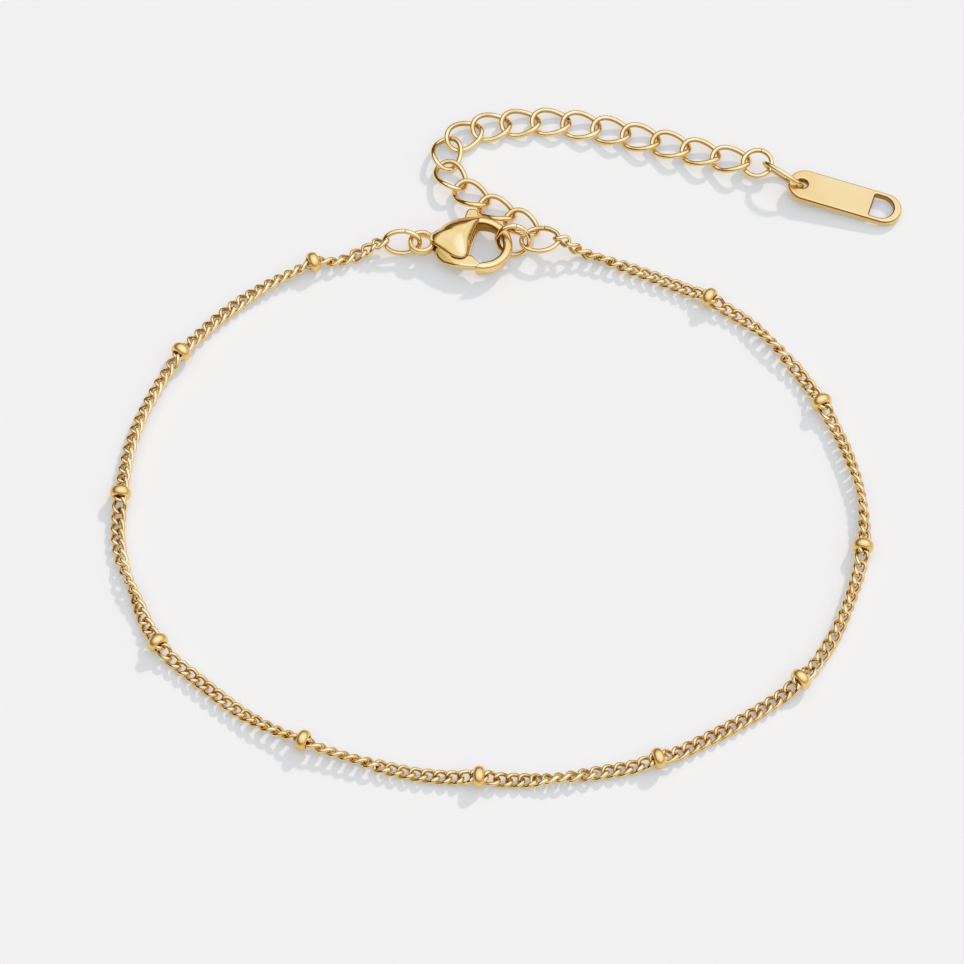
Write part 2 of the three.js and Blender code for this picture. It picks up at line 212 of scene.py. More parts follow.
# Outline of the clasp's shells seen from above, in the clasp's own frame, in millimetres.
SHELL_OUTLINE = (
    (-5.25, 0.5),
    (-5.2, -0.1),
    (-4.95, -0.52),
    (-4.4, -0.82),
    (-3.8, -1.26),
    (-3.25, -1.64),
    (-2.75, -1.88),
    (-2.3, -2.0),
    (-1.85, -2.02),
    (-1.45, -1.82),
    (-1.2, -1.32),
    (-1.02, -0.4),
    (-0.92, 0.35),
    (-0.74, 1.36),
    (-0.4, 2.28),
    (0.0, 3.1),
    (-0.6, 3.2),
    (-1.6, 3.06),
    (-2.6, 2.82),
    (-3.56, 2.3),
    (-4.03, 1.86),
    (-4.4, 1.37),
    (-4.9, 0.85),
)
SHELL_CROWN = (-2.3, 0.9)

# Rise of each shell from its rim to its crown. Columns: share of the outline, height in millimetres.
FRONT_SHELL = (
    (0.97, 2.1),
    (1.0, 2.12),
    (1.0, 2.22),
    (0.95, 2.38),
    (0.84, 2.58),
    (0.68, 2.8),
    (0.48, 2.99),
    (0.28, 3.1),
    (0.12, 3.14),
)
BACK_SHELL = (
    (0.97, 0.9),
    (1.0, 0.86),
    (1.0, 0.6),
    (0.95, 0.36),
    (0.84, 0.14),
    (0.7, 0.03),
    (0.45, 0.0),
    (0.2, 0.0),
)

# Outline of the metal that joins the shells to the tail ring.
NECK_OUTLINE = (
    (-5.3, -0.35),
    (-4.62, -0.22),
    (-4.5, 0.6),
    (-4.1, 1.05),
    (-4.0, 1.75),
    (-4.35, 1.35),
    (-4.9, 0.95),
    (-5.35, 0.6),
)

# Outline of the lever: gate arm, then the hub's near side, the thumb tab and the far side.
LEVER_OUTLINE = (
    (-0.22, -2.82),
    (0.15, -2.32),
    (-0.91, -1.38),
    (-1.7, -1.5),
    (-2.4, -1.35),
    (-2.9, -0.9),
    (-2.95, -0.15),
    (-0.85, 2.45),
    (-0.38, 3.25),
    (-0.62, 4.2),
    (-0.85, 4.42),
    (-1.45, 4.4),
    (-1.72, 4.18),
    (-1.95, 3.3),
    (-4.25, 0.4),
    (-4.42, -0.25),
    (-4.66, -0.8),
    (-4.56, -1.25),
    (-4.3, -1.69),
    (-3.76, -2.2),
    (-2.73, -2.66),
    (-1.72, -2.84),
    (-0.72, -2.86),
)

# Sizes of the clasp in its own frame, in millimetres and degrees. Roundness 1 is a round section
# and less is squarer. The hook has painted shade on its inner side, and its tip is cut on a slant.
CLASP_PLACE = {"x": -3.2, "y": 22.4, "heading": -3.75}
CLASP_MIDDLE = 1.5
HOOK = {
    "radius": 2.77,
    "half_width": 0.52,
    "start": 114,
    "end": -112,
    "roundness": 2 / 2.6,
    "shaded_within": -0.5,
    "slant": 35,
    "cut": (-0.12, -2.77, 0.0),
}
HOOK_HALF_HEIGHT = {"root": 0.95, "nose": 0.68, "tip": 0.86}
TAIL_RING = {"x": -6.11, "outer": 1.45, "hole": 0.9, "half_height": 0.52, "roundness": 0.7}
NECK_HEIGHTS = (0.6, 2.4)
NECK_EDGE = 0.12
PIN = {"x": -3.7, "y": -0.2, "z": CLASP_MIDDLE, "radius": 0.34, "length": 1.3}
LEVER_HEIGHTS = (1.05, 1.95)
LEVER_EDGE = 0.22
ARM_SLOPE = {"outward": (-0.75, -0.66, 0.0), "start": 3.4, "fall": 0.6}

# Sizes of the tag, in millimetres and degrees, measured from its ring hole.
TAG_PLACE = {"x": 30.02, "y": 30.31, "z": 1.12, "heading": -17.5, "tilt": 3.6}
TAG = {
    "half_width": 1.85,
    "left_centre": 0.42,
    "right_centre": 8.82,
    "hole": 0.58,
    "window_start": 7.55,
    "window_centre": 8.46,
    "window_radius": 1.36,
    "window_corner": 0.2,
}

# Steps along each curve of the tag's lines and round its softened edge.
TAG_STEPS = {"end": 32, "hole": 24, "window": 20, "corner": 4, "rounding": 4}

# Corners nearer than this are joined, in millimetres.
SAME_CORNER = 0.001

# Painted shade on the walls of the tag's openings and a painted dark reflection along its front edge. The
# rim's width and the depths are counted in roundings of its edge.
TAG_SHADE = {"rim": 1.5, "top": 0.1, "fading": 0.8, "bottom": 0.9}
TAG_SHADING = {"openings": 0.9, "front": 1.0, "fading": 0.4}

# Finish of each gold plate. The colour and the base roughness are named as the settings are.
# Columns: colour, base roughness, added roughness, tone scale, grain scale, relief.
FINISHES = {
    "Polished gold plate": ("bright_gold", "polish", 0.0, 450.0, 2600.0, 0.02),
    "Satin gold plate": ("gold", "satin", 0.0, 260.0, 5200.0, 0.012),
    "Bead gold plate": ("rich_gold", "satin", 0.12, 450.0, 2600.0, 0.02),
    "Tag gold plate": ("gold", "satin", 0.04, 180.0, 6400.0, 0.03),
}

# How far the grain varies the roughness, and its depth in metres at full relief.
ROUGHNESS_SPREAD = 0.06
GRAIN_DEPTH = 0.00002

# Brightness of the studio dome. Columns: cosine of the angle from its brightest part, red, green, blue.
DOME_STOPS = (
    (0.0, 0.08, 0.035, 0.005),
    (0.4, 0.2, 0.11, 0.02),
    (0.47, 0.9, 0.92, 0.82),
    (0.62, 1.08, 1.18, 1.25),
    (0.83, 0.87, 0.99, 1.27),
    (0.89, 1.3, 1.36, 2.1),
    (1.0, 1.4, 1.46, 2.25),
)

# Direction of the dome's brightest part.
DOME_AXIS = (0.22, -0.05, 0.97)

# Columns: name, strength, spread in degrees, colour, direction it comes from.
LIGHTS = (
    ("Window light", 2.5, 3.5, (1.0, 0.853, 0.919), (0.8, 1.15, 1.0)),
    ("Ceiling light", 0.214, 150, (1.0, 0.853, 0.919), (0.0, 0.1, 1.0)),
)

# The floor and the even backdrop past its edge, in metres.
FLOOR = {"radius": 6.0, "drop": 0.00001, "roughness": 0.7, "gloss": 0.1}
BACKDROP = (0.888, 0.888, 0.888, 1.0)

# The camera, in degrees and metres. Half view is the tangent of half its angle of view.
CAMERA = {
    "elevation": 58,
    "aim": (-0.0031, -0.0052, 0.0),
    "distance": 0.5,
    "half_view": 0.0964,
    "nearest": 0.01,
}


# ---- sizes and colours a user may change ----


class AnkletSizes(bpy.types.PropertyGroup):
    """Sizes of the anklet's fine pieces."""

    chain_wire: FloatProperty(
        name="Chain wire",
        description="Thickness of the curb chain's wire",
        default=0.00043,
        subtype="DISTANCE",
        unit="LENGTH",
    )
    chain_half_length: FloatProperty(
        name="Chain link half length",
        description="From a curb link's centre to the middle of the wire at its end",
        default=0.00081,
        subtype="DISTANCE",
        unit="LENGTH",
    )
    chain_half_width: FloatProperty(
        name="Chain link half width",
        description="From a curb link's centre to the middle of the wire at its side",
        default=0.00057,
        subtype="DISTANCE",
        unit="LENGTH",
    )
    chain_twist: FloatProperty(
        name="Chain link twist",
        description="How far each curb link's corners stand out of its plane",
        default=0.0003,
        subtype="DISTANCE",
        unit="LENGTH",
    )
    chain_pitch: FloatProperty(
        name="Chain pitch",
        description="Distance from one curb link to the next",
        default=0.00119,
        subtype="DISTANCE",
        unit="LENGTH",
    )
    bead_radius: FloatProperty(
        name="Bead radius",
        description="Outer radius of each bead",
        default=0.0011,
        subtype="DISTANCE",
        unit="LENGTH",
    )
    bead_hole: FloatProperty(
        name="Bead hole",
        description="Radius of the hole through each bead",
        default=0.0006,
        subtype="DISTANCE",
        unit="LENGTH",
    )
    bead_thickness: FloatProperty(
        name="Bead thickness",
        description="Length of each bead along the chain",
        default=0.00113,
        subtype="DISTANCE",
        unit="LENGTH",
    )
    link_wire: FloatProperty(
        name="Extender wire",
        description="Thickness of the extender links' wire",
        default=0.00055,
        subtype="DISTANCE",
        unit="LENGTH",
    )
    link_half_length: FloatProperty(
        name="Extender link half length",
        description="From an extender link's centre to the middle of the wire at its end",
        default=0.00198,
        subtype="DISTANCE",
        unit="LENGTH",
    )
    link_half_width: FloatProperty(
        name="Extender link half width",
        description="From an extender link's centre to the middle of the wire at its side",
        default=0.00145,
        subtype="DISTANCE",
        unit="LENGTH",
    )
    link_twist: FloatProperty(
        name="Extender link twist",
        description="How far each extender link's corners stand out of its plane",
        default=0.00035,
        subtype="DISTANCE",
        unit="LENGTH",
    )
    tag_thickness: FloatProperty(
        name="Tag thickness",
        description="Thickness of the end tag",
        default=0.00084,
        subtype="DISTANCE",
        unit="LENGTH",
    )
    tag_rounding: FloatProperty(
        name="Tag edge rounding",
        description="Radius of the end tag's softened edges",
        default=0.00022,
        subtype="DISTANCE",
        unit="LENGTH",
    )


class AnkletColours(bpy.types.PropertyGroup):
    """Colours and polish of the gold plate, and the floor's colour and glow."""

    gold: FloatVectorProperty(
        name="Gold plate",
        description="Colour of the plate on the clasp and the tag",
        default=(0.93, 0.69, 0.32),
        subtype="COLOR",
        min=0.0,
        max=1.0,
    )
    bright_gold: FloatVectorProperty(
        name="Bright gold",
        description="Colour of the plate on the polished wire",
        default=(0.99, 0.77, 0.4),
        subtype="COLOR",
        min=0.0,
        max=1.0,
    )
    rich_gold: FloatVectorProperty(
        name="Rich gold",
        description="Colour of the plate on the beads",
        default=(0.97, 0.69, 0.26),
        subtype="COLOR",
        min=0.0,
        max=1.0,
    )
    deep_gold: FloatVectorProperty(
        name="Deep gold",
        description="Colour of the plate where it is thicker",
        default=(0.9, 0.61, 0.23),
        subtype="COLOR",
        min=0.0,
        max=1.0,
    )
    # Colour of the painted shade inside rings, links, beads and the hook, and on the tag's openings and
    # front edge.
    shade: FloatVectorProperty(
        name="Shaded gold",
        description="Colour where less polish reaches, inside rings, links and the tag's openings",
        default=(0.4, 0.2, 0.03),
        subtype="COLOR",
        min=0.0,
        max=1.0,
    )
    polish: FloatProperty(
        name="Polished roughness",
        description="Roughness of the polished wire",
        default=0.07,
        min=0.0,
        max=1.0,
    )
    satin: FloatProperty(
        name="Satin roughness",
        description="Roughness of the softly polished clasp, which the tag and beads add to",
        default=0.22,
        min=0.0,
        max=1.0,
    )
    floor: FloatVectorProperty(
        name="Floor",
        description="Colour of the pale floor",
        default=(0.415, 0.418, 0.348),
        subtype="COLOR",
        min=0.0,
        max=1.0,
    )
    floor_glow: FloatProperty(
        name="Floor glow",
        description="Light the floor gives off by itself, as a light table does",
        default=0.3,
        min=0.0,
        max=1.0,
    )


# ---- materials ----


def add_node(tree, kind, **values):
    """A new shader node with the given settings."""
    node = tree.nodes.new(kind)
    for key, value in values.items():
        setattr(node, key, value)
    return node


def plating_group():
    """Tone, painted shade, roughness and fine scratches of a gold-plated surface."""
    name = "Gold plating"
    if name in bpy.data.node_groups:
        return bpy.data.node_groups[name]
    tree = bpy.data.node_groups.new(name, "ShaderNodeTree")
    for label, kind in (
        ("Vector", "NodeSocketVector"),
        ("Plate", "NodeSocketColor"),
        ("Deep Plate", "NodeSocketColor"),
        ("Shade", "NodeSocketColor"),
        ("Painted Shade", "NodeSocketFloat"),
        ("Tone Scale", "NodeSocketFloat"),
        ("Grain Scale", "NodeSocketFloat"),
        ("Roughness", "NodeSocketFloat"),
        ("Roughness Spread", "NodeSocketFloat"),
    ):
        tree.interface.new_socket(name=label, in_out="INPUT", socket_type=kind)
    for label, kind in (
        ("Colour", "NodeSocketColor"),
        ("Roughness", "NodeSocketFloat"),
        ("Height", "NodeSocketFloat"),
    ):
        tree.interface.new_socket(name=label, in_out="OUTPUT", socket_type=kind)
    given = add_node(tree, "NodeGroupInput")
    result = add_node(tree, "NodeGroupOutput")
    link = tree.links.new

    tone = add_node(tree, "ShaderNodeTexNoise")
    tone.inputs["Detail"].default_value = 3.0
    link(given.outputs["Vector"], tone.inputs["Vector"])
    link(given.outputs["Tone Scale"], tone.inputs["Scale"])
    spread = add_node(tree, "ShaderNodeMapRange")
    spread.inputs["From Min"].default_value = 0.35
    spread.inputs["From Max"].default_value = 0.68
    link(tone.outputs["Fac"], spread.inputs["Value"])
    mix = add_node(tree, "ShaderNodeMix", data_type="RGBA")
    link(spread.outputs["Result"], mix.inputs["Factor"])
    link(given.outputs["Plate"], mix.inputs["A"])
    link(given.outputs["Deep Plate"], mix.inputs["B"])
    # Painted shade: the colour is darkened towards the shaded gold as far as the mesh attribute says.
    shaded = add_node(tree, "ShaderNodeMix", data_type="RGBA")
    link(given.outputs["Painted Shade"], shaded.inputs["Factor"])
    link(mix.outputs["Result"], shaded.inputs["A"])
    link(given.outputs["Shade"], shaded.inputs["B"])
    link(shaded.outputs["Result"], result.inputs["Colour"])

    grain = add_node(tree, "ShaderNodeTexNoise")
    grain.inputs["Detail"].default_value = 4.0
    grain.inputs["Distortion"].default_value = 0.4
    link(given.outputs["Vector"], grain.inputs["Vector"])
    link(given.outputs["Grain Scale"], grain.inputs["Scale"])
    centred = add_node(tree, "ShaderNodeMath", operation="SUBTRACT")
    centred.inputs[1].default_value = 0.5
    link(grain.outputs["Fac"], centred.inputs[0])
    rough = add_node(tree, "ShaderNodeMath", operation="MULTIPLY_ADD", use_clamp=True)
    link(centred.outputs[0], rough.inputs[0])
    link(given.outputs["Roughness Spread"], rough.inputs[1])
    link(given.outputs["Roughness"], rough.inputs[2])
    link(rough.outputs[0], result.inputs["Roughness"])
    link(grain.outputs["Fac"], result.inputs["Height"])
    return tree


def gold_plate(name):
    """The material of one gold plate with its own polish and tone, made once."""
    if name in bpy.data.materials:
        return bpy.data.materials[name]
    colours = bpy.context.scene.anklet_colours
    plate, base, added, tone_scale, grain_scale, relief = FINISHES[name]
    material = bpy.data.materials.new(name)
    material.use_nodes = True
    tree = material.node_tree
    shader = tree.nodes["Principled BSDF"]
    shader.inputs["Metallic"].default_value = 1.0
    place = add_node(tree, "ShaderNodeTexCoord")
    # Reads where shade is painted on the mesh.
    painted_shade = add_node(tree, "ShaderNodeAttribute", attribute_name=PAINTED_SHADE)
    plating = add_node(tree, "ShaderNodeGroup", node_tree=plating_group())
    plating.inputs["Plate"].default_value = (*getattr(colours, plate), 1.0)
    plating.inputs["Deep Plate"].default_value = (*colours.deep_gold, 1.0)
    plating.inputs["Shade"].default_value = (*colours.shade, 1.0)
    plating.inputs["Tone Scale"].default_value = tone_scale
    plating.inputs["Grain Scale"].default_value = grain_scale
    plating.inputs["Roughness"].default_value = getattr(colours, base) + added
    plating.inputs["Roughness Spread"].default_value = ROUGHNESS_SPREAD
    bump = add_node(tree, "ShaderNodeBump")
    bump.inputs["Strength"].default_value = relief
    bump.inputs["Distance"].default_value = GRAIN_DEPTH
    link = tree.links.new
    link(place.outputs["Object"], plating.inputs["Vector"])
    link(painted_shade.outputs["Fac"], plating.inputs["Painted Shade"])
    link(plating.outputs["Colour"], shader.inputs["Base Color"])
    link(plating.outputs["Roughness"], shader.inputs["Roughness"])
    link(plating.outputs["Height"], bump.inputs["Height"])
    link(bump.outputs["Normal"], shader.inputs["Normal"])
    return material


# ---- helpers ----


def turned(heading, roll=0.0, tilt=0.0):
    """A turn by heading, then tilt, then roll, in degrees."""
    return (
        Matrix.Rotation(math.radians(heading), 4, "Z")
        @ Matrix.Rotation(math.radians(-tilt), 4, "Y")
        @ Matrix.Rotation(math.radians(roll), 4, "X")
    )


def stamp(bm, mesh, matrix):
    """Adds one more copy of a mesh at its place."""
    first = len(bm.verts)
    bm.from_mesh(mesh)
    bm.verts.ensure_lookup_table()
    bmesh.ops.transform(bm, matrix=matrix, verts=bm.verts[first:])


def finished(bm, name, material, nodes, body=BODY, rounds=0, sharp=None, flat=None):
    """Turns a shape into a piece that rides on a body and stands for the named nodes.

    Faces square to the flat direction keep a level sheen up to their edges.
    """
    bmesh.ops.recalc_face_normals(bm, faces=bm.faces)
    mesh = bpy.data.meshes.new(name)
    bm.to_mesh(mesh)
    bm.free()
    mesh.materials.append(material)
    mesh.shade_smooth()
    if sharp is not None:
        mesh.set_sharp_from_angle(angle=math.radians(sharp))
    if flat is not None:
        for face in mesh.polygons:
            face.use_smooth = abs(face.normal.dot(flat)) < LEVEL_FACE
    piece = bpy.data.objects.new(name, mesh)
    bpy.context.collection.objects.link(piece)
    if rounds:
        rounding = piece.modifiers.new("Rounding", "SUBSURF")
        rounding.levels = rounds
        rounding.render_levels = rounds
    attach(piece, body)
    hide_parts(*nodes)


def smoothing_loss(corners):
    """How far rounding draws in a ring of that many corners."""
    return (2 + math.cos(2 * math.pi / corners)) / 3


def spin_round(bm, axis, steps):
    """Sweeps a cross-section all the way round an axis."""
    bmesh.ops.spin(
        bm,
        geom=bm.verts[:] + bm.edges[:],
        cent=(0, 0, 0),
        axis=axis,
        angle=2 * math.pi,
        steps=steps,
        use_merge=True,
    )


def squared(point, roundness):
    """A point of a round section moved out towards a square's side."""
    across = math.copysign(abs(point.x) ** roundness, point.x)
    up = math.copysign(abs(point.y) ** roundness, point.y)
    return across, up


def wire_ring(half_length, half_width, wire, twist=0.0, kind="wire", cut_at=None, shading=RING_PAINTED_SHADE):
    """A closed oval of round wire. With cut_at, in degrees, its butted ends show as a fine joint there.

    The wire is spun round a unit circle, which is then stretched to the oval and twisted.
    """
    steps, sides = STEPS[kind], CORNERS[kind]
    radius = wire / 2 / smoothing_loss(sides)
    half_length /= smoothing_loss(steps)
    half_width /= smoothing_loss(steps)
    # The twist rises and falls twice a turn, so half as many corners carry it.
    twist /= smoothing_loss(steps / 2)
    bm = bmesh.new()
    start = math.radians(cut_at or 0.0)
    joint = JOINT_GAP / 2 / half_width if cut_at is not None else 0.0
    upright = Matrix.Rotation(math.pi / 2, 4, "X")
    section = Matrix.Rotation(start + joint, 4, "Z") @ Matrix.Translation((1, 0, 0)) @ upright
    bmesh.ops.create_circle(bm, segments=sides, radius=radius, matrix=section)
    bmesh.ops.spin(
        bm,
        geom=bm.verts[:] + bm.edges[:],
        cent=(0, 0, 0),
        axis=UP,
        angle=2 * math.pi - 2 * joint,
        steps=steps,
        use_merge=cut_at is None,
    )
    if cut_at is not None:
        crease = bm.edges.layers.float.new("crease_edge")
        ends = [edge for edge in bm.edges if edge.is_boundary]
        for edge in ends:
            edge[crease] = 1.0
        bmesh.ops.holes_fill(bm, edges=ends, sides=sides)
    painted_shade = bm.verts.layers.float.new(PAINTED_SHADE)
    for vert in bm.verts:
        angle = math.atan2(vert.co.y, vert.co.x)
        outward = math.hypot(vert.co.x, vert.co.y) - 1
        # Painted shade on the wire's inner side, deepening with the square of the way inwards.
        vert[painted_shade] = shading * max(0.0, -outward / radius) ** 2
        cos, sin = math.cos(angle), math.sin(angle)
        centre = Vector((half_length * cos, half_width * sin, -twist * math.sin(2 * angle)))
        along = Vector((-half_length * sin, half_width * cos, -2 * twist * math.cos(2 * angle)))
        side = along.cross(UP).normalized()
        vert.co = centre + side * outward + side.cross(along.normalized()) * vert.co.z
    bmesh.ops.recalc_face_normals(bm, faces=bm.faces)
    mesh = bpy.data.meshes.new("ring")
    bm.to_mesh(mesh)
    bm.free()
    return mesh


def outline_edges(bm, outline, height):
    """The closed line of an outline at one height."""
    verts = [bm.verts.new((x, y, height)) for x, y in outline]
    return [bm.edges.new((vert, verts[i - 1])) for i, vert in enumerate(verts)]


def raise_edges(bm, edges):
    """Extrudes a closed line and returns the new line's corners and edges."""
    new = bmesh.ops.extrude_edge_only(bm, edges=edges)["geom"]
    corners = [item for item in new if isinstance(item, bmesh.types.BMVert)]
    ring = set(corners)
    lines = [item for item in new if isinstance(item, bmesh.types.BMEdge) and set(item.verts) <= ring]
    return corners, lines


def pillow(bm, outline, crown, rows):
    """Raises an outline row by row towards its crown and closes it at both ends."""
    share, height = rows[0]
    middle = Vector((*crown, 0))
    scaled = [(crown[0] + (x - crown[0]) * share, crown[1] + (y - crown[1]) * share) for x, y in outline]
    lines = outline_edges(bm, scaled, height)
    bmesh.ops.contextual_create(bm, geom=lines)
    for next_share, next_height in rows[1:]:
        corners, lines = raise_edges(bm, lines)
        factor = next_share / share
        bmesh.ops.scale(bm, vec=(factor, factor, 1), space=Matrix.Translation(-middle), verts=corners)
        bmesh.ops.translate(bm, vec=(0, 0, next_height - height), verts=corners)
        share, height = next_share, next_height
    bmesh.ops.contextual_create(bm, geom=lines)


def slab(bm, outline, low, high, edge, segments=2):
    """A flat plate with softened edges."""
    face = bmesh.ops.contextual_create(bm, geom=outline_edges(bm, outline, low))["faces"][0]
    grown = bmesh.ops.extrude_face_region(bm, geom=[face])["geom"]
    top = [item for item in grown if isinstance(item, bmesh.types.BMVert)]
    bmesh.ops.translate(bm, vec=(0, 0, high - low), verts=top)
    flat = [item for item in bm.edges if abs(item.verts[0].co.z - item.verts[1].co.z) < LEVEL_EDGE]
    bmesh.ops.bevel(
        bm,
        geom=flat,
        offset=edge,
        offset_type="OFFSET",
        segments=segments,
        profile=0.5,
        affect="EDGES",
        material=-1,
    )


# ---- chain ----


class ChainLine:
    """The chain's line, measured along its length in metres."""

    SAMPLES = 24

    def __init__(self, rows):
        corners = [Vector((x * MM, y * MM)) for x, y, _ in rows]
        padded = [2 * corners[0] - corners[1], *corners, 2 * corners[-1] - corners[-2]]
        self.points = [corners[0]]
        self.lengths = [0.0]
        self.row_lengths = [0.0]
        for i in range(len(corners) - 1):
            for step in range(1, self.SAMPLES + 1):
                point = self.between(*padded[i : i + 4], step / self.SAMPLES)
                self.lengths.append(self.lengths[-1] + (point - self.points[-1]).length)
                self.points.append(point)
            self.row_lengths.append(self.lengths[-1])

    @staticmethod
    def between(before, start, end, after, share):
        """A smooth point between start and end."""
        a = 2 * start
        b = end - before
        c = 2 * before - 5 * start + 4 * end - after
        d = 3 * start - before - 3 * end + after
        return 0.5 * (a + b * share + c * share**2 + d * share**3)

    def at(self, length):
        """The point and the direction at a length along the chain."""
        length = min(max(length, 0.0), self.lengths[-1])
        i = 1
        while i < len(self.lengths) - 1 and self.lengths[i] < length:
            i += 1
        start, end = self.points[i - 1], self.points[i]
        share = (length - self.lengths[i - 1]) / (self.lengths[i] - self.lengths[i - 1])
        return start.lerp(end, share), (end - start).normalized()


def from_table(rows, place):
    """A value read between the rows of a two-column table."""
    for (low, first), (high, second) in zip(rows, rows[1:]):
        if place <= high:
            share = (place - low) / (high - low)
            share = share * share * (3 - 2 * share)
            return first + (second - first) * share
    return rows[-1][1]


def build_chain():
    """The curb chain, one piece for each stretch between two beads."""
    sizes = bpy.context.scene.anklet_sizes
    line = ChainLine(CHAIN_ROUTE)
    stops = [line.row_lengths[i] for i, row in enumerate(CHAIN_ROUTE) if row[2]]
    stops = [0.0, *stops, line.row_lengths[-1]]
    lifts = [(stop, sizes.bead_radius) for stop in stops]
    lifts[0] = (stops[0], CHAIN_LIFT["left"] * MM)
    lifts[-1] = (stops[-1], CHAIN_LIFT["right"] * MM)
    reach = CHAIN_LIFT["reach"] * MM
    step = CHAIN_LIFT["step"] * MM
    edge_half = sizes.chain_half_width + sizes.chain_wire / 2
    flat_half = sizes.chain_twist + sizes.chain_wire / 2

    def height_at(length, roll):
        """Height of the chain's middle: a link lies on its side or edge, and beads and rings lift it."""
        turn = math.radians(roll)
        resting = math.hypot(edge_half * math.sin(turn), flat_half * math.cos(turn))
        height = resting
        for stop, top in lifts:
            near = math.exp(-(((length - stop) / reach) ** 2))
            height = max(height, resting + (top - resting) * near)
        return height

    link = wire_ring(
        sizes.chain_half_length,
        sizes.chain_half_width,
        sizes.chain_wire,
        sizes.chain_twist,
        kind="chain",
        shading=CHAIN_PAINTED_SHADE,
    )
    for span in range(len(stops) - 1):
        first, last = stops[span], stops[span + 1]
        count = round((last - first) / sizes.chain_pitch)
        bm = bmesh.new()
        for i in range(0 if span == 0 else 1, count + 1):
            length = first + (last - first) * i / count
            roll = from_table(CHAIN_ROLL, span + i / count)
            point, along = line.at(length)
            rise = height_at(length + step, roll) - height_at(length - step, roll)
            heading = math.degrees(math.atan2(along.y, along.x))
            tilt = math.degrees(math.atan2(rise, 2 * step))
            place = Matrix.Translation((point.x, point.y, height_at(length, roll)))
            stamp(bm, link, place @ turned(heading, roll, tilt))
        name, node = f"curb_chain_{span + 1:02d}", f"chain_span_{span + 1:02d}"
        finished(bm, name, gold_plate("Polished gold plate"), [node], rounds=1)
    bpy.data.meshes.remove(link)


# ---- beads ----


def build_beads():
    """Rounded beads with a hole, each standing across the chain."""
    sizes = bpy.context.scene.anklet_sizes
    line = ChainLine(CHAIN_ROUTE)
    middle = sizes.bead_hole + BEAD_WIDEST * (sizes.bead_radius - sizes.bead_hole)
    rows = [i for i, row in enumerate(CHAIN_ROUTE) if row[2]]
    material = gold_plate("Bead gold plate")
    for number, row in enumerate(rows, start=1):
        node = f"bead_{number:02d}"
        low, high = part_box(node)
        centre = (Vector(low) + Vector(high)) / 2
        along = line.at(line.row_lengths[row])[1]
        bm = bmesh.new()
        bmesh.ops.create_circle(bm, segments=CORNERS["bead"], radius=1.0)
        painted_shade = bm.verts.layers.float.new(PAINTED_SHADE)
        for vert in bm.verts:
            across, length = vert.co.x, vert.co.y
            # Painted shade on the bead's inner side, towards its hole.
            vert[painted_shade] = max(0.0, -across)
            depth = sizes.bead_radius - middle if across > 0 else middle - sizes.bead_hole
            vert.co = Vector((length * sizes.bead_thickness / 2, 0, middle + across * depth))
        spin_round(bm, (1, 0, 0), STEPS["bead"])
        heading = math.degrees(math.atan2(along.y, along.x))
        bmesh.ops.transform(bm, matrix=Matrix.Translation(centre) @ turned(heading), verts=bm.verts)
        finished(bm, f"round_bead_{number:02d}", material, [node], rounds=1)


# ---- rings and extender ----


def build_extender():
    """The extender's twisted links."""
    sizes = bpy.context.scene.anklet_sizes
    link = wire_ring(sizes.link_half_length, sizes.link_half_width, sizes.link_wire, sizes.link_twist)
    for number, (x, y, z, heading, roll, tilt) in enumerate(EXTENDER_LINKS, start=1):
        bm = bmesh.new()
        stamp(bm, link, Matrix.Translation((x * MM, y * MM, z * MM)) @ turned(heading, roll, tilt))
        name, node = f"curb_link_{number:02d}", f"extender_link_{number:02d}"
        finished(bm, name, gold_plate("Polished gold plate"), [node], rounds=2)
    bpy.data.meshes.remove(link)


def build_rings():
    """The plain rings that join the chain, the clasp, the extender and the tag."""
    for name, half_length, half_width, wire, x, y, z, heading, roll, tilt in RINGS:
        ring = wire_ring(half_length * MM, half_width * MM, wire * MM, cut_at=RING_CUT)
        bm = bmesh.new()
        stamp(bm, ring, Matrix.Translation((x * MM, y * MM, z * MM)) @ turned(heading, roll, tilt))
        finished(bm, f"wire_{name}", gold_plate("Polished gold plate"), [name], rounds=2)
        bpy.data.meshes.remove(ring)


# ---- clasp ----


def clasp_matrix():
    """The clasp's place, which also takes its millimetres to metres."""
    place = Matrix.Translation((CLASP_PLACE["x"] * MM, CLASP_PLACE["y"] * MM, 0))
    return place @ turned(CLASP_PLACE["heading"]) @ Matrix.Scale(MM, 4)


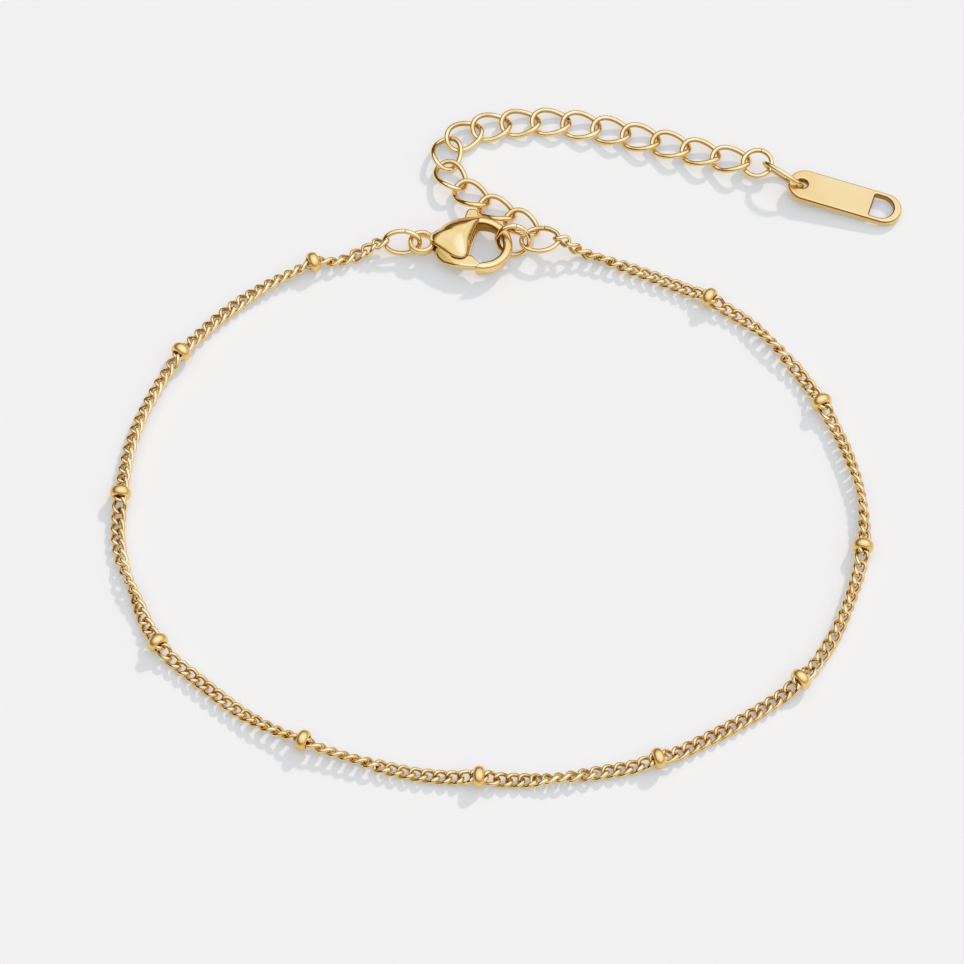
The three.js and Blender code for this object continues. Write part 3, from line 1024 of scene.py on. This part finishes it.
def make_hook():
    """The bow that closes on the lever, taller at its root and tip than at its nose."""
    bm = bmesh.new()
    painted_shade = bm.verts.layers.float.new(PAINTED_SHADE)
    ring = bmesh.ops.create_circle(bm, segments=CORNERS["hook"], radius=1.0)["verts"]
    for vert in ring:
        # Painted shade on the hook's inner side.
        vert[painted_shade] = 1.0 if vert.co.x < HOOK["shaded_within"] else 0.0
        across, up = squared(vert.co, HOOK["roundness"])
        vert.co = Vector((HOOK["radius"] + HOOK["half_width"] * across, 0, up))
    bmesh.ops.rotate(bm, cent=(0, 0, 0), matrix=turned(HOOK["start"]).to_3x3(), verts=ring)
    edges = bm.edges[:]
    swept = bmesh.ops.spin(
        bm,
        geom=[*ring, *edges],
        cent=(0, 0, 0),
        axis=UP,
        angle=math.radians(HOOK["end"] - HOOK["start"]),
        steps=STEPS["hook"],
    )
    last = [item for item in swept["geom_last"] if isinstance(item, bmesh.types.BMEdge)]
    bmesh.ops.contextual_create(bm, geom=edges)
    bmesh.ops.contextual_create(bm, geom=last)
    for vert in bm.verts:
        angle = math.degrees(math.atan2(vert.co.y, vert.co.x))
        share = min(1.0, abs(angle) / 90)
        end = HOOK_HALF_HEIGHT["root" if angle > 0 else "tip"]
        half = HOOK_HALF_HEIGHT["nose"] + (end - HOOK_HALF_HEIGHT["nose"]) * share**2
        vert.co.z = CLASP_MIDDLE + vert.co.z * half
    slant = math.radians(HOOK["slant"])
    corners = [vert for vert in bm.verts if vert.co.y < 0]
    lower = set(corners)
    bmesh.ops.bisect_plane(
        bm,
        geom=[item for item in [*bm.faces, *bm.edges] if lower.issuperset(item.verts)] + corners,
        plane_co=HOOK["cut"],
        plane_no=(-math.cos(slant), math.sin(slant), 0),
        clear_outer=True,
    )
    bmesh.ops.holes_fill(bm, edges=[edge for edge in bm.edges if edge.is_boundary], sides=0)
    return bm


def make_tail_ring():
    """The flat-sided eye that the left jump ring runs through."""
    bm = bmesh.new()
    middle = (TAIL_RING["outer"] + TAIL_RING["hole"]) / 2
    half = (TAIL_RING["outer"] - TAIL_RING["hole"]) / 2
    bmesh.ops.create_circle(bm, segments=CORNERS["tail"], radius=1.0)
    for vert in bm.verts:
        across, up = squared(vert.co, TAIL_RING["roundness"])
        vert.co = Vector((middle + half * across, 0, TAIL_RING["half_height"] * up))
    spin_round(bm, UP, STEPS["tail"])
    bmesh.ops.translate(bm, vec=(TAIL_RING["x"], 0, CLASP_MIDDLE), verts=bm.verts)
    return bm


def make_neck():
    """The metal that joins the shells to the tail ring."""
    bm = bmesh.new()
    slab(bm, NECK_OUTLINE, *NECK_HEIGHTS, NECK_EDGE)
    return bm


def join(bm, part):
    """Adds one shape to another and frees it."""
    mesh = bpy.data.meshes.new("part")
    part.to_mesh(mesh)
    part.free()
    bm.from_mesh(mesh)
    bpy.data.meshes.remove(mesh)


def slope_arm(bm):
    """Lets the lever's arm fall away towards its outer edge."""
    outward = Vector(ARM_SLOPE["outward"]).normalized()
    bmesh.ops.bisect_plane(
        bm,
        geom=bm.verts[:] + bm.edges[:] + bm.faces[:],
        plane_co=outward * ARM_SLOPE["start"],
        plane_no=outward,
    )
    low, high = LEVER_HEIGHTS
    for vert in bm.verts:
        beyond = max(0.0, vert.co.dot(outward) - ARM_SLOPE["start"])
        vert.co.z -= ARM_SLOPE["fall"] * beyond * (vert.co.z - low) / (high - low)


def build_clasp():
    """The clasp's body and its lever."""
    place = clasp_matrix()
    material = gold_plate("Satin gold plate")
    bm = bmesh.new()
    pillow(bm, SHELL_OUTLINE, SHELL_CROWN, FRONT_SHELL)
    pillow(bm, SHELL_OUTLINE, SHELL_CROWN, BACK_SHELL)
    for make_part in (make_tail_ring, make_neck, make_hook):
        join(bm, make_part())
    bmesh.ops.create_cone(
        bm,
        cap_ends=True,
        segments=CORNERS["pin"],
        radius1=PIN["radius"],
        radius2=PIN["radius"],
        depth=PIN["length"],
        matrix=Matrix.Translation([PIN[key] for key in "xyz"]),
    )
    bmesh.ops.transform(bm, matrix=place, verts=bm.verts)
    finished(bm, "lobster_clasp", material, ["clasp_body"], rounds=2)

    bm = bmesh.new()
    slab(bm, LEVER_OUTLINE, *LEVER_HEIGHTS, LEVER_EDGE, segments=5)
    slope_arm(bm)
    bmesh.ops.transform(bm, matrix=place, verts=bm.verts)
    finished(
        bm,
        "thumb_lever",
        material,
        ["clasp_lever"],
        body=LEVER_BODY,
        sharp=CRISP["lever"],
        flat=UP,
    )


# ---- tag ----


def arc(centre, radius, start, end, steps):
    """Points along an arc, with both its ends. Angles in degrees."""
    angles = [math.radians(start + (end - start) * i / steps) for i in range(steps + 1)]
    return [(centre[0] + radius * math.cos(a), centre[1] + radius * math.sin(a)) for a in angles]


def tag_lines():
    """The tag's outer line, its ring hole and its window, in millimetres."""
    half, radius, corner = TAG["half_width"], TAG["window_radius"], TAG["window_corner"]
    outer = arc((TAG["right_centre"], 0), half, -90, 90, TAG_STEPS["end"])
    outer += arc((TAG["left_centre"], 0), half, 90, 270, TAG_STEPS["end"])
    hole = arc((0, 0), TAG["hole"], 0, 360, TAG_STEPS["hole"])[:-1]
    window = arc((TAG["window_centre"], 0), radius, -90, 90, TAG_STEPS["window"])
    start = TAG["window_start"] + corner
    window += arc((start, radius - corner), corner, 90, 180, TAG_STEPS["corner"])
    window += arc((start, corner - radius), corner, 180, 270, TAG_STEPS["corner"])
    return outer, hole, window


def shade_edges(bm, half_thickness, rounding):
    """Painted shade on the walls of the tag's openings and a painted dark reflection along its front edge.
    """
    painted_shade = bm.verts.layers.float.new(PAINTED_SHADE)
    for vert in bm.verts:
        x, y, z = vert.co
        centre = min(max(x, TAG["left_centre"]), TAG["right_centre"])
        away = Vector((x - centre, y))
        depth = (half_thickness - z) / rounding
        if away.length < TAG["half_width"] - TAG_SHADE["rim"] * rounding:
            vert[painted_shade] = TAG_SHADING["openings"] if depth > TAG_SHADE["top"] else 0.0
        elif TAG_SHADE["top"] < depth < TAG_SHADE["bottom"]:
            # A painted dark reflection along the edge that faces the front.
            most = TAG_SHADING["front" if depth < TAG_SHADE["fading"] else "fading"]
            vert[painted_shade] = max(0.0, -away.normalized().y) * most


def build_tag():
    """The flat end tag with its ring hole and window."""
    sizes = bpy.context.scene.anklet_sizes
    rounding = sizes.tag_rounding / MM
    curve = bpy.data.curves.new("tag line", "CURVE")
    curve.dimensions = "2D"
    curve.fill_mode = "BOTH"
    curve.extrude = sizes.tag_thickness / MM / 2 - rounding
    curve.bevel_depth = rounding
    curve.bevel_resolution = TAG_STEPS["rounding"]
    curve.offset = -rounding
    for points in tag_lines():
        spline = curve.splines.new("POLY")
        spline.points.add(len(points) - 1)
        for point, (x, y) in zip(spline.points, points):
            point.co = (x, y, 0, 1)
        spline.use_cyclic_u = True
    holder = bpy.data.objects.new("tag line", curve)
    bpy.context.collection.objects.link(holder)
    graph = bpy.context.evaluated_depsgraph_get()
    bm = bmesh.new()
    bm.from_mesh(holder.evaluated_get(graph).to_mesh())
    bpy.data.objects.remove(holder)
    bpy.data.curves.remove(curve)
    bmesh.ops.remove_doubles(bm, verts=bm.verts, dist=SAME_CORNER)
    shade_edges(bm, sizes.tag_thickness / MM / 2, rounding)
    place = Matrix.Translation([TAG_PLACE[key] * MM for key in "xyz"])
    place = place @ turned(TAG_PLACE["heading"], tilt=-TAG_PLACE["tilt"]) @ Matrix.Scale(MM, 4)
    bmesh.ops.transform(bm, matrix=place, verts=bm.verts)
    flat = place.to_3x3().normalized() @ UP
    material = gold_plate("Tag gold plate")
    finished(bm, "flat_tag", material, ["end_tag"], sharp=CRISP["tag"], flat=flat)


# ---- stage ----


def build_floor():
    """The pale floor, which gives off a little light of its own."""
    colours = bpy.context.scene.anklet_colours
    bm = bmesh.new()
    bmesh.ops.create_circle(bm, cap_ends=True, segments=CORNERS["floor"], radius=FLOOR["radius"])
    bmesh.ops.translate(bm, vec=(0, 0, -FLOOR["drop"]), verts=bm.verts)
    mesh = bpy.data.meshes.new("floor")
    bm.to_mesh(mesh)
    bm.free()
    material = bpy.data.materials.new("Pale floor")
    material.use_nodes = True
    shader = material.node_tree.nodes["Principled BSDF"]
    shader.inputs["Base Color"].default_value = (*colours.floor, 1.0)
    shader.inputs["Roughness"].default_value = FLOOR["roughness"]
    shader.inputs["Specular IOR Level"].default_value = FLOOR["gloss"]
    shader.inputs["Emission Color"].default_value = (1.0, 1.0, 1.0, 1.0)
    shader.inputs["Emission Strength"].default_value = colours.floor_glow
    mesh.materials.append(material)
    floor = bpy.data.objects.new("floor", mesh)
    bpy.context.collection.objects.link(floor)


def build_world():
    """A soft dome, brightest and a little blue nearly overhead, with a dim warm surround."""
    world = bpy.data.worlds.new("Studio dome")
    bpy.context.scene.world = world
    world.use_nodes = True
    tree = world.node_tree
    tree.nodes.clear()
    link = tree.links.new
    place = add_node(tree, "ShaderNodeTexCoord")
    unit = add_node(tree, "ShaderNodeVectorMath", operation="NORMALIZE")
    link(place.outputs["Generated"], unit.inputs[0])
    facing = add_node(tree, "ShaderNodeVectorMath", operation="DOT_PRODUCT")
    facing.inputs[1].default_value = Vector(DOME_AXIS).normalized()
    link(unit.outputs["Vector"], facing.inputs[0])
    glow = add_node(tree, "ShaderNodeValToRGB")
    while len(glow.color_ramp.elements) < len(DOME_STOPS):
        glow.color_ramp.elements.new(0.5)
    for element, (position, *colour) in zip(glow.color_ramp.elements, DOME_STOPS):
        element.position = position
        element.color = (*colour, 1.0)
    link(facing.outputs["Value"], glow.inputs["Fac"])
    dome = add_node(tree, "ShaderNodeBackground")
    link(glow.outputs["Color"], dome.inputs["Color"])
    pale = add_node(tree, "ShaderNodeBackground")
    pale.inputs["Color"].default_value = BACKDROP
    seen = add_node(tree, "ShaderNodeLightPath")
    mix = add_node(tree, "ShaderNodeMixShader")
    link(seen.outputs["Is Camera Ray"], mix.inputs["Fac"])
    link(dome.outputs["Background"], mix.inputs[1])
    link(pale.outputs["Background"], mix.inputs[2])
    out = add_node(tree, "ShaderNodeOutputWorld")
    link(mix.outputs["Shader"], out.inputs["Surface"])


def build_lights():
    """The slanting window light that throws the shadows and the broad light that softens them."""
    for name, strength, spread, colour, direction in LIGHTS:
        light = bpy.data.lights.new(name, "SUN")
        light.energy = strength
        light.angle = math.radians(spread)
        light.color = colour
        holder = bpy.data.objects.new(name, light)
        holder.rotation_euler = Vector(direction).to_track_quat("Z", "Y").to_euler()
        holder.visible_glossy = False
        bpy.context.collection.objects.link(holder)


def build_camera():
    """The camera that looks down on the anklet from the front."""
    elevation = math.radians(CAMERA["elevation"])
    camera = bpy.data.cameras.new("Camera")
    camera.sensor_fit = "HORIZONTAL"
    camera.angle = 2 * math.atan(CAMERA["half_view"])
    camera.clip_start = CAMERA["nearest"]
    holder = bpy.data.objects.new("Camera", camera)
    backwards = Vector((0, -math.cos(elevation), math.sin(elevation)))
    holder.location = Vector(CAMERA["aim"]) + CAMERA["distance"] * backwards
    holder.rotation_euler = (math.pi / 2 - elevation, 0, 0)
    bpy.context.collection.objects.link(holder)
    bpy.context.scene.camera = holder


def build_stage():
    """The pale floor, the soft light and the camera."""
    build_floor()
    build_world()
    build_lights()
    build_camera()
    bpy.context.scene.view_settings.view_transform = "Standard"


# ---- operators and panel ----


class ANKLET_OT_chain(bpy.types.Operator):
    """Make the curb chain between the beads"""

    bl_idname = "anklet.chain"
    bl_label = "Curb chain"

    def execute(self, context):
        build_chain()
        return {"FINISHED"}


class ANKLET_OT_beads(bpy.types.Operator):
    """Make the beads on the chain"""

    bl_idname = "anklet.beads"
    bl_label = "Beads"

    def execute(self, context):
        build_beads()
        return {"FINISHED"}


class ANKLET_OT_extender(bpy.types.Operator):
    """Make the extender's links"""

    bl_idname = "anklet.extender"
    bl_label = "Extender links"

    def execute(self, context):
        build_extender()
        return {"FINISHED"}


class ANKLET_OT_rings(bpy.types.Operator):
    """Make the jump rings, the catch ring and the tag's ring"""

    bl_idname = "anklet.rings"
    bl_label = "Rings"

    def execute(self, context):
        build_rings()
        return {"FINISHED"}


class ANKLET_OT_clasp(bpy.types.Operator):
    """Make the lobster clasp and its lever"""

    bl_idname = "anklet.clasp"
    bl_label = "Clasp"

    def execute(self, context):
        build_clasp()
        return {"FINISHED"}


class ANKLET_OT_tag(bpy.types.Operator):
    """Make the flat tag at the extender's end"""

    bl_idname = "anklet.tag"
    bl_label = "End tag"

    def execute(self, context):
        build_tag()
        return {"FINISHED"}


class ANKLET_OT_stage(bpy.types.Operator):
    """Make the floor, the light and the camera"""

    bl_idname = "anklet.stage"
    bl_label = "Stage"

    def execute(self, context):
        build_stage()
        return {"FINISHED"}


class ANKLET_PT_panel(bpy.types.Panel):
    """The anklet's pieces, sizes and colours"""

    bl_label = "Anklet"
    bl_idname = "ANKLET_PT_panel"
    bl_space_type = "VIEW_3D"
    bl_region_type = "UI"
    bl_category = "Anklet"

    def draw(self, context):
        layout = self.layout
        for operator in OPERATORS:
            layout.operator(operator.bl_idname)
        for group in (context.scene.anklet_sizes, context.scene.anklet_colours):
            box = layout.box()
            for name in group.__annotations__:
                box.prop(group, name)


OPERATORS = (
    ANKLET_OT_chain,
    ANKLET_OT_beads,
    ANKLET_OT_extender,
    ANKLET_OT_rings,
    ANKLET_OT_clasp,
    ANKLET_OT_tag,
    ANKLET_OT_stage,
)
CLASSES = (AnkletSizes, AnkletColours, *OPERATORS, ANKLET_PT_panel)


def register():
    """Adds the sizes, colours, operators and panel to Blender."""
    for cls in CLASSES:
        bpy.utils.register_class(cls)
    bpy.types.Scene.anklet_sizes = PointerProperty(type=AnkletSizes)
    bpy.types.Scene.anklet_colours = PointerProperty(type=AnkletColours)


def unregister():
    """Takes the sizes, colours, operators and panel out again."""
    del bpy.types.Scene.anklet_colours
    del bpy.types.Scene.anklet_sizes
    for cls in reversed(CLASSES):
        bpy.utils.unregister_class(cls)


def main():
    """Builds the anklet and its stage."""
    register()
    bpy.ops.anklet.chain()
    bpy.ops.anklet.beads()
    bpy.ops.anklet.extender()
    bpy.ops.anklet.rings()
    bpy.ops.anklet.clasp()
    bpy.ops.anklet.tag()
    bpy.ops.anklet.stage()


if __name__ == "__main__":
    main()
